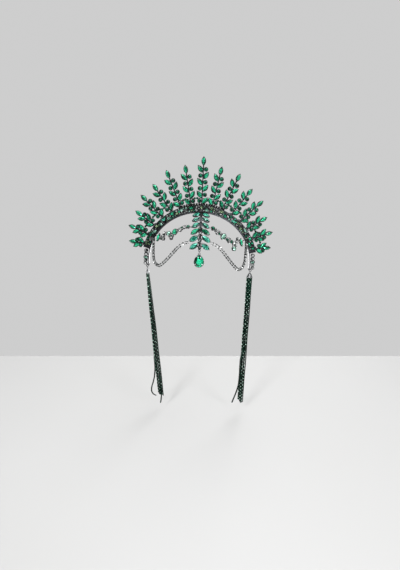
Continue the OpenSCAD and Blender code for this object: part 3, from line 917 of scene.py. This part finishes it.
def pillow_behind(seat, holder, height=1.0):
    """A pillow on the back of the metal behind a stone."""
    start = seat.centre - seat.normal * BEHIND * MM
    hit, spot, *_ = nodes[holder].ray_cast(start, seat.normal, distance=BEHIND * MM)
    if not hit:
        return []
    scale = (seat.width * PILLOW_SHARE / CUP_D, seat.length * PILLOW_SHARE / CUP_D, height)
    place = into_place(spot, -seat.across, seat.along, -seat.normal, scale)
    return [copy_into(pillow, place, hematite)]


holders = {name: name.replace("stones", "sprig") for name in sprig_nodes}
holders["leaf_stones"] = "front_drop"
for side in SIDES:
    holders["garland_stones_" + side] = "garland_" + side
pillows = []
for name, holder in holders.items():
    for seat in seats[name]:
        pillows += pillow_behind(seat, holder)
fuse(pillows, "cup_backs", "crown", "dark_metal")
fuse(pillow_behind(pear_seat, "pear_setting", PEAR_PILLOW_H), "pear_back", "drop", "dark_metal")
print("pillows:", len(pillows), "of", len(pillow.data.polygons), "faces")

# %% [markdown]
# ## The band
#
# The channel of the band is packed with stones of several sizes, so that hardly any metal shows:
# the large ones stand in two rows, and small ones fill each gap between them and the lips. Their
# places follow the band's own rule, an angle and a radius on the leaning fan. A string of black
# beads lies along the outer lip, near the top.

# %% The leaning fan
BAND_R = 76
FAN_R = 87
LEAN = math.radians(8)
BAND_END = 70  # degrees to the last large stones
BAND_PITCH = 5
CHANNEL_MID = 82.1
ZIGZAG = 1.5
CHANNEL_FLOOR = 0.52


def round_seat(spot, across, normal, diameter):
    """A round seat at a place in metres."""
    return Seat(ROUND, spot, across, normal.cross(across), normal, diameter, diameter)


def fan_seat(angle, radius, height, diameter, turn=0.0):
    """A round seat on the fan, at an angle in degrees from the top and a radius in millimetres."""
    a = math.radians(angle)
    across = Vector((math.cos(a), 0, -math.sin(a)))
    along = Vector((math.cos(LEAN) * math.sin(a), math.sin(LEAN), math.cos(LEAN) * math.cos(a)))
    normal = Vector((math.sin(LEAN) * math.sin(a), -math.cos(LEAN), math.sin(LEAN) * math.cos(a)))
    back = (radius - BAND_R) * math.tan(LEAN)
    spot = Vector((radius * math.sin(a), back, radius * math.cos(a) - BAND_R)) + normal * height
    t = math.radians(turn)
    return round_seat(spot * MM, across * math.cos(t) + along * math.sin(t), normal, diameter)


def set_small(seat, finish, level, cup_metal=hematite, height=0.7):
    """A small round stone in its own little cup; its height is a share of a large stone's."""
    size = seat.width / CUP_D
    stone = copy_into(small_round, at_seat(seat, (size, size, height)), finish)
    paint_light_and_shade(stone, level)
    return [stone, set_cup(seat, cup_metal)]


# %% Small stones beside the spine
SPINE_D = 2.5
SPINE_SIDE = 1.75
SPINE_BARE = 2  # rows at the top, too close together for more stones
SPINE_FINISHES = [smoke, clear, smoke, sage]
SPINE_LEVELS = (-0.1, 0.1)
leaves = [seat for seat in seats["leaf_stones"] if seat.shape == MARQUISE]
rows = [leaves[i : i + 2] for i in range(0, len(leaves), 2)]
small = []
for upper, lower in zip(rows[SPINE_BARE:], rows[SPINE_BARE + 1 :]):
    middle = sum((seat.centre for seat in upper + lower), Vector()) / 4
    normal = sum((seat.normal for seat in upper + lower), Vector())
    normal.x = 0
    normal.normalize()
    for way in (-1, 1):
        across = Vector((way, 0, 0))
        spot = middle + across * SPINE_SIDE * MM
        seat = round_seat(spot, across, normal, SPINE_D)
        small += set_small(seat, chance.choice(SPINE_FINISHES), chance.uniform(*SPINE_LEVELS))
fuse(small, "small_spine_stones", "crown", "pale_stone")
print("small stones and cups beside the spine:", len(small))

# %% Small stones of the garlands
FILLER_D = 2.5
FILLER_SIDE = 1.25
FILLER_FAR = 9.5  # mm between two stones that get two pairs
FILLER_FINISHES = [clear, smoke, clear, deep_green]
for side in SIDES:
    small = []
    string = outwards(seats["garland_stones_" + side])
    for one, other in zip(string, string[1:]):
        way = other.centre - one.centre
        normal = (one.normal + other.normal).normalized()
        beside = normal.cross(way).normalized()
        shares = (1 / 3, 2 / 3) if way.length > FILLER_FAR * MM else (0.5,)
        for share in shares:
            for k in (-1, 1):
                spot = one.centre + way * share + beside * k * FILLER_SIDE * MM
                seat = round_seat(spot, beside, normal, FILLER_D)
                small += set_small(seat, chance.choice(FILLER_FINISHES), chance.uniform(*BAND_LEVELS))
    fuse(small, "small_garland_stones_" + side, "crown", "pale_stone")
    print("garland", side, "small stones and cups:", len(small))

# %% Small stones of the band
OPPOSITE_D = 2.8  # across the channel from each large stone
OPPOSITE_OUT = 0.85  # further from the channel's middle than the large ones
OPPOSITE_TURN = 37  # degrees from one to the next, so that they catch the light differently
BETWEEN = [  # from the channel's middle, above its floor, diameter, turn from one to the next
    (0, 0.3, 2.4, 51),
    (-2.8, 0, 1.9, 23),
    (2.8, 0, 1.9, 71),
]
SMALL_FINISHES = [clear, sage, pale_green, smoke, emerald, clear, jet, deep_green]
small = []
for i in range(2 * BAND_END // BAND_PITCH + 1):
    angle = BAND_PITCH * i - BAND_END
    other_row = CHANNEL_MID + (ZIGZAG + OPPOSITE_OUT) * (-1 if i % 2 == 0 else 1)
    found = [fan_seat(angle, other_row, CHANNEL_FLOOR, OPPOSITE_D, i * OPPOSITE_TURN)]
    if angle < BAND_END:
        half = angle + BAND_PITCH / 2
        for out, lift, diameter, turn in BETWEEN:
            found.append(fan_seat(half, CHANNEL_MID + out, CHANNEL_FLOOR + lift, diameter, i * turn))
    for seat in found:
        small += set_small(seat, chance.choice(SMALL_FINISHES), chance.uniform(*BAND_LEVELS), gunmetal)
fuse(small, "small_band_stones", "crown", "pale_stone")
print("small stones and cups in the band:", len(small))

# %% Black beads on the outer lip
BEAD_D = 3.4
BEAD_PITCH = 2.3  # degrees
BEAD_END = 9  # beads on each side of the middle
BEAD_SPOT = (FAN_R + 0.8, 2.4)  # radius and height on the fan
BEAD_FLAT = 0.43  # share of the diameter from its middle to each flat end
HOLE_RIM = 0.1
HOLE_DEPTH = 0.3
FLAT = 0.99  # only faces that look this nearly in one direction
sphere = bpy.ops.mesh.primitive_uv_sphere_add
black_bead = start_master("black_bead", sphere, segments=12, ring_count=8, radius=BEAD_D / 2)
for way in (1, -1):
    grind((0, 0, way * BEAD_D * BEAD_FLAT), (0, 0, way))
for way in (1, -1):
    faces_facing((0, 0, way), FLAT)
    bpy.ops.mesh.inset(thickness=HOLE_RIM)
    extrude((0, 0, -way * HOLE_DEPTH))
finish_master(50)
beads = []
for k in range(-BEAD_END, BEAD_END + 1):
    seat = fan_seat(k * BEAD_PITCH, *BEAD_SPOT, BEAD_D)
    beads.append(copy_into(black_bead, into_place(seat.centre, seat.along, seat.normal, seat.across), jet))
fuse(beads, "black_beads", "crown", "dark_beads")
print("black beads:", len(beads))

# %% [markdown]
# ## Links between the sprigs
#
# Just above the band a wire runs from stem to stem, and small dark stones sit on it between the
# sprigs: two in most gaps, and one lower down where two leaves face each other. The wire is a small
# circle, moved to one end of the arch and spun around the arch's middle to the other end.

# %% Link wire and link stones
SPRIG_ANGLES = [0, 9.9, 19.5, 29.3, 39.6, 50.3, 61, 71.4]
LINK_R = FAN_R + 8.8
LINK_HEIGHT = 0.55
LINK_D = 2.7
LINK_CUT_H = 0.85
LINK_STEP = 0.98  # degrees from the middle of a gap to each of its two stones
LOWER_LINK_R = FAN_R + 6.3
NARROW_GAPS = {(1, 0), (1, 4), (-1, 2), (-1, 6)}  # the side and the gap's number from the middle
LINK_WIRE = 0.45
WIRE_STEPS = 90
half_turn = math.radians(SPRIG_ANGLES[-1])
first_end = (LINK_R * math.sin(half_turn), 0, LINK_R * math.cos(half_turn))
link_wire = start_master(
    "link_wire",
    bpy.ops.mesh.primitive_circle_add,
    vertices=8,
    radius=LINK_WIRE,
    location=first_end,
    rotation=(0, half_turn + math.pi / 2, 0),
)
bpy.ops.mesh.select_all(action="SELECT")
bpy.ops.mesh.spin(steps=WIRE_STEPS, angle=2 * half_turn, center=(0, 0, 0), axis=(0, 1, 0))
finish_master(60)
link_wire.data.transform(Matrix.Translation((0, (LINK_R - BAND_R) * math.tan(LEAN), -BAND_R)))
links = [copy_into(link_wire, Matrix.Scale(MM, 4), gunmetal)]
link_stones = []
for way in (-1, 1):
    for gap, (inner, outer) in enumerate(zip(SPRIG_ANGLES, SPRIG_ANGLES[1:])):
        middle = way * (inner + outer) / 2
        if (way, gap) in NARROW_GAPS:
            spots = [(middle, LOWER_LINK_R)]
        else:
            spots = [(middle - LINK_STEP, LINK_R), (middle + LINK_STEP, LINK_R)]
        for angle, radius in spots:
            seat = fan_seat(angle, radius, LINK_HEIGHT, LINK_D)
            link_stones += set_small(seat, deep_green, 0, gunmetal, LINK_CUT_H)
fuse(links + link_stones, "links", "crown", "dark_metal")
bpy.data.objects.remove(link_wire)
print("link stones and cups:", len(link_stones))

# %% [markdown]
# ## Cup chain
#
# The festoons are cup chain: small stones in a row, each in a little cup with a bar to the next;
# every second stone is a smoky one. One unit is made from an eight-sided cup whose side is extruded
# into the bar, with its own cut stone. Copies follow the same smooth route as the frame's strands,
# face out of the brow and are each turned a little, because a real chain never lies flat.

# %% One unit of cup chain
CHAIN_PITCH = 2.3
CHAIN_CUP_D = 2.1
CHAIN_CUP_H = 1.3
CHAIN_RIM = 0.18
CHAIN_CUP_DEPTH = 0.4
CHAIN_SIDE = 0.28  # from the edges of the cup's side to the bar
CHAIN_OVERLAP = 0.1  # how far the bar goes into the next cup
CHAIN_STONE_D = 1.9
CHAIN_CUT_H = 0.6  # share of a large stone's height
CHAIN_STONE_Z = 0.2
HALF_SIDE = math.pi / 8  # half the angle of a side, which turns a side to the next cup
turned = (0, 0, HALF_SIDE)
start_master(
    "chain_unit", cylinder, vertices=8, radius=CHAIN_CUP_D / 2, depth=CHAIN_CUP_H, rotation=turned
)
faces_facing((0, 0, 1))
bpy.ops.mesh.inset(thickness=CHAIN_RIM)
extrude((0, 0, -CHAIN_CUP_DEPTH))
faces_facing((1, 0, 0), FLAT)
bpy.ops.mesh.inset(thickness=CHAIN_SIDE)
extrude((CHAIN_PITCH - CHAIN_CUP_D * math.cos(HALF_SIDE) + CHAIN_OVERLAP, 0, 0))
chain_cup = finish_master()
share = CHAIN_STONE_D / CUP_D
chain_stone = copy_into(small_round, Matrix.Diagonal((share, share, CHAIN_CUT_H, 1)), clear)
chain_stone.data.transform(Matrix.Translation((0, 0, CHAIN_STONE_Z)))
print("chain unit:", len(chain_cup.data.polygons) + len(chain_stone.data.polygons), "faces")

# %% The route of a festoon
FESTOON = [  # from the forehead piece down and up to the band, on the right side
    (15.1, -38.4, -32.4), (22, -39.6, -34.6), (29.5, -39.5, -40), (38, -38.5, -50),
    (47, -36, -61), (56, -30, -70), (62.5, -23, -68.5), (65, -18, -61),
    (65.5, -14.5, -52), (66, -9.5, -44), (66.3, -4, -38),
]
BROW_Z = -74  # the height of the brow's middle
BROW = Vector((75, 61, 76))  # its half width, depth and height
STRANDS_APART = 2.8
COARSE, FINE = 12, 40  # steps of a smooth curve from one point of its route to the next


def curve_point(a, b, c, d, t):
    """A point on the smooth curve between b and c."""
    return 0.5 * (2 * b + (c - a) * t + (2 * a - 5 * b + 4 * c - d) * t**2 + (3 * b - a - 3 * c + d) * t**3)


def smooth(route, steps):
    """A smooth curve through a route's points."""
    route = [Vector(p) for p in route]
    last = len(route) - 1
    points = [
        curve_point(route[max(i - 1, 0)], route[i], route[i + 1], route[min(i + 2, last)], j / steps)
        for i in range(last)
        for j in range(steps)
    ]
    return points + [route[-1]]


def spaced(route, count):
    """A given number of points, evenly spread along the smooth curve through a route."""
    line = smooth(route, FINE)
    return [line[round(i * (len(line) - 1) / (count - 1))] for i in range(count)]


def brow_out(x, z):
    """The direction out of the brow at a place of the front view."""
    u, v = x / BROW.x, (z - BROW_Z) / BROW.z
    share = math.sqrt(max(1 - u * u - v * v, 0))
    return Vector((u / BROW.x, -share / BROW.y, v / BROW.z)).normalized()


def paced(points, pitch, first):
    """Places at even steps along a line of points, each with the direction ahead."""
    made, left = [], first
    for a, b in zip(points, points[1:]):
        gap = (b - a).length
        while left <= gap:
            made.append((a + (b - a) * (left / gap), (b - a).normalized()))
            left += pitch
        left -= gap
    return made


# %% Hang the festoons
CHAIN_TILT = 0.12  # radians
INSIDE_BROW = 0.9  # the faces follow the brow a little further in, where it is flatter
CHAIN_LEVELS = [(-0.1, 0.3), (-0.35, 0)]  # of the clear and of the smoky stones
for side, way in SIDES.items():
    middle_line = smooth([(way * x, y, z) for x, y, z in FESTOON], COARSE)
    for row, sideways in (("upper", 0), ("lower", STRANDS_APART)):
        units = []
        for unit, (spot, ahead_here) in enumerate(paced(middle_line, CHAIN_PITCH, CHAIN_PITCH / 2)):
            out = brow_out(spot.x * INSIDE_BROW, spot.z)
            beside = ahead_here.cross(out).normalized() * way
            face = (beside.cross(ahead_here) * way).normalized()
            tilt = Matrix.Rotation(chance.uniform(-CHAIN_TILT, CHAIN_TILT), 3, ahead_here)
            face = (tilt @ face).normalized()
            place = into_place((spot + beside * sideways) * MM, ahead_here, face.cross(ahead_here), face)
            units.append(copy_into(chain_cup, place, chain_metal))
            stone = copy_into(chain_stone, place, clear if unit % 2 == 0 else smoke)
            paint_light_and_shade(stone, chance.uniform(*CHAIN_LEVELS[unit % 2]))
            units.append(stone)
        fuse(units, f"chain_{side}_{row}", "crown", "cup_chain", f"festoon_{side}_{row}")
        print("festoon", side, row, len(units) // 2, "units")

# %% [markdown]
# ## Tassels
#
# Each tassel is a bundle of strands of seed beads, many hundreds of beads that hang almost straight
# and spread a little on the way down. One small faceted bead is repeated along a path with an Array
# and bent along it with a Curve modifier, which keeps the script short and the beads evenly spaced.
# Every strip of the frame's solid becomes two strands, one in front of the other. The strands are
# woven side by side into a ribbon: beads painted bright as glints sit among the dark ones like the
# knots of a net. The right ribbon faces the front all the way; the left one leaves its cap edge-on
# and turns as it falls.

# %% One seed bead
SEED_D = 1.95
SEED_PITCH = 1.75
SEED_FLAT = 0.44  # share of the diameter from its middle to each flat end
sideways = (0, math.pi / 2, 0)
seed_bead = start_master(
    "seed_bead", sphere, segments=6, ring_count=4, radius=SEED_D / 2, rotation=sideways
)
for way in (1, -1):
    grind((way * SEED_D * SEED_FLAT, 0, 0), (way, 0, 0))
bpy.ops.object.mode_set(mode="OBJECT")
middles = [[round(c, 2) for c in face.center] for face in seed_bead.data.polygons]
SEED_ORDER = sorted(range(len(middles)), key=middles.__getitem__)  # by place, so the same each run
print("seed bead:", len(middles), "faces")
# its flash colour is the colour of the painted glints
seed_glass = foiled_glass(
    "seed_glass", (0.0003, 0.001, 0.0007), (0.003, 0.035, 0.02), (0.5, 0.72, 0.6), 0, 0, 0.05, 0.12
)

# %% One strand of beads
PATH_CUTS = 15
BEND_POINTS = 4 * (PATH_CUTS + 1) + 1  # a new path has four stretches
GLINT_SHARE = 0.85  # share of the net's places that get a painted glint
NET_EVERY = 4
BEAD_TONES = (0.0, 0.3)
TOP_SHARE = 0.25  # of the strand, where the beads are greener
TOP_GREENER = 0.25
UNEVEN = 0.1


def bead_strand(route, net=None):
    """Seed beads threaded along a route of BEND_POINTS points, in millimetres, with a net of painted glints.
    """
    bpy.ops.object.select_all(action="DESELECT")
    bpy.ops.curve.primitive_nurbs_path_add()
    path = bpy.context.object
    bpy.ops.object.mode_set(mode="EDIT")
    bpy.ops.curve.select_all(action="SELECT")
    bpy.ops.curve.subdivide(number_cuts=PATH_CUTS)
    bpy.ops.object.mode_set(mode="OBJECT")
    for point, spot in zip(path.data.splines[0].points, route, strict=True):
        point.co = (*spot, 1)
    strand = copy_into(seed_bead, Matrix.Identity(4), seed_glass)
    row = strand.modifiers.new("row", "ARRAY")
    row.fit_type = "FIT_CURVE"
    row.curve = path
    row.use_relative_offset = False
    row.use_constant_offset = True
    row.constant_offset_displace = (SEED_PITCH, 0, 0)
    bend = strand.modifiers.new("bend", "CURVE")
    bend.object = path
    bend.deform_axis = "POS_X"
    pick(strand)
    bpy.ops.object.modifier_apply(modifier="row")
    bpy.ops.object.modifier_apply(modifier="bend")
    bpy.data.objects.remove(path)
    strand.data.transform(Matrix.Scale(MM, 4))
    faces = len(SEED_ORDER)
    count = len(strand.data.polygons) // faces
    tones = [0.0] * (count * faces)
    for bead in range(count):
        # a bead at a place of the net is painted bright as a glint
        painted_glint = net is not None and (bead + net) % NET_EVERY == 0 and chance.random() < GLINT_SHARE
        greener = TOP_GREENER * max(1 - bead / count / TOP_SHARE, 0)
        tone = chance.uniform(*PAINTED_LIGHT_TONES) if painted_glint else chance.uniform(*BEAD_TONES) + greener
        for face in SEED_ORDER:
            tones[bead * faces + face] = tone + chance.uniform(-UNEVEN, UNEVEN)
    strand.data.attributes.new("tone", "FLOAT", "FACE").data.foreach_set("value", tones)
    return strand


# %% Loose strands
CURL = [  # this and the next two are loose strands, each from its top to its end
    (-70, -4.6, -246), (-69, -5, -262), (-69, -5, -274), (-70.2, -5, -288), (-72.6, -5, -300),
    (-75.2, -5, -311), (-75.6, -5, -320), (-73.2, -5, -326), (-69.6, -5, -329), (-66.5, -5, -330),
]
STRAY = [
    (80.4, -3.6, -226), (78.4, -4.6, -240), (78.6, -5.2, -254), (79.6, -5.2, -275), (79.8, -5.2, -294),
    (78.2, -5.2, -308), (74.9, -5.2, -324), (71.6, -5.2, -338),
]
TAIL = [(-61, -4.5, -285), (-59.8, -5, -305), (-57.8, -5, -322), (-58.3, -5, -336), (-59.6, -5, -346)]
LOOSE = {"l": [CURL, TAIL], "r": [STRAY]}
BESIDE = Vector((0.9, -0.8, 0.9))  # from a loose strand to its double

# %% Hang the tassels
CAP_AT = {"l": Vector((-79, 3)), "r": Vector((79, 3))}
FOOT = {"l": Vector((-58.5, -4)), "r": Vector((87, -4))}
TURN_AT_CAP = {"l": math.pi / 2, "r": 0}  # of the ribbon, which faces the front at its foot
STRANDS_START = -95.2
TASSEL_END = -340
STRIPS_SHORT = {"l": [14, 11, 9, 8, 9, 10], "r": [6, 4, 3, 2, 0, 3]}  # how far each ends above that
STRIP_PITCH = (1.45, 1.75)  # between strips, at the cap and at the foot
STRIP_OUT = 0.4  # every second strip to the front, the others to the back
LAYERS = (-0.7, 0.7)
SWAY = 0.25
SWAY_WAVES = 2.5
THREAD_SHORT = 5  # the most that a thread ends above its strip


def thread_route(side, strip, layer, phase):
    """One strand of a strip, in the front or the back layer; the strip sways a little."""
    drop = TASSEL_END + STRIPS_SHORT[side][strip] + chance.uniform(0, THREAD_SHORT) - STRANDS_START
    place = strip - (len(STRIPS_SHORT[side]) - 1) / 2
    out = layer + (STRIP_OUT if strip % 2 == 0 else -STRIP_OUT)
    route = []
    for i in range(BEND_POINTS):
        share = i / (BEND_POINTS - 1)
        facing = Matrix.Rotation(TURN_AT_CAP[side] * (1 - share), 2)
        pitch = STRIP_PITCH[0] + (STRIP_PITCH[1] - STRIP_PITCH[0]) * share
        sway = SWAY * math.sin(math.pi * share) * math.sin(phase + 2 * math.pi * SWAY_WAVES * share)
        at = CAP_AT[side].lerp(FOOT[side], share) + facing @ Vector((place * pitch + sway, out))
        route.append((*at, STRANDS_START + drop * share))
    return route


for side, loose in LOOSE.items():
    strands = []
    for strip in range(len(STRIPS_SHORT[side])):
        phase = chance.uniform(0, 2 * math.pi)
        net = strip % NET_EVERY if strip % 2 == 0 else None  # every second strip carries painted glints
        strands += [bead_strand(thread_route(side, strip, layer, phase), net) for layer in LAYERS]
    for route in loose:
        line = spaced(route, BEND_POINTS)
        strands += [bead_strand(line), bead_strand([spot + BESIDE for spot in line])]
    fuse(strands, "beads_tassel_" + side, "crown", "dark_beads", "tassel_" + side)
    print("tassel", side, len(strands), "strands,", len(bpy.context.object.data.polygons), "faces")

# %% [markdown]
# ## Plating the frame
#
# The frame's metal pieces already have their true shape, so they only get their plating: a duller
# silver on the tassels' caps, hematite on the garlands and the jump ring, which catch more light,
# and the darker frame metal on all else.

# %% Metal on the CAD nodes
for name, node in nodes.items():
    if "stone" in name:
        continue
    plating = frame_metal
    if name.startswith("tassel_cap"):
        plating = dull_silver
    elif name.startswith(("garland", "jump_ring")):
        plating = hematite
    node.data.materials.clear()
    node.data.materials.append(plating)

# %% [markdown]
# ## Last cell
#
# The masters are put away.

# %% Finish
put_away = [*masters.values(), small_round, claw, cup, pillow, black_bead, chain_cup, chain_stone]
for master in [*put_away, seed_bead]:
    bpy.data.objects.remove(master)
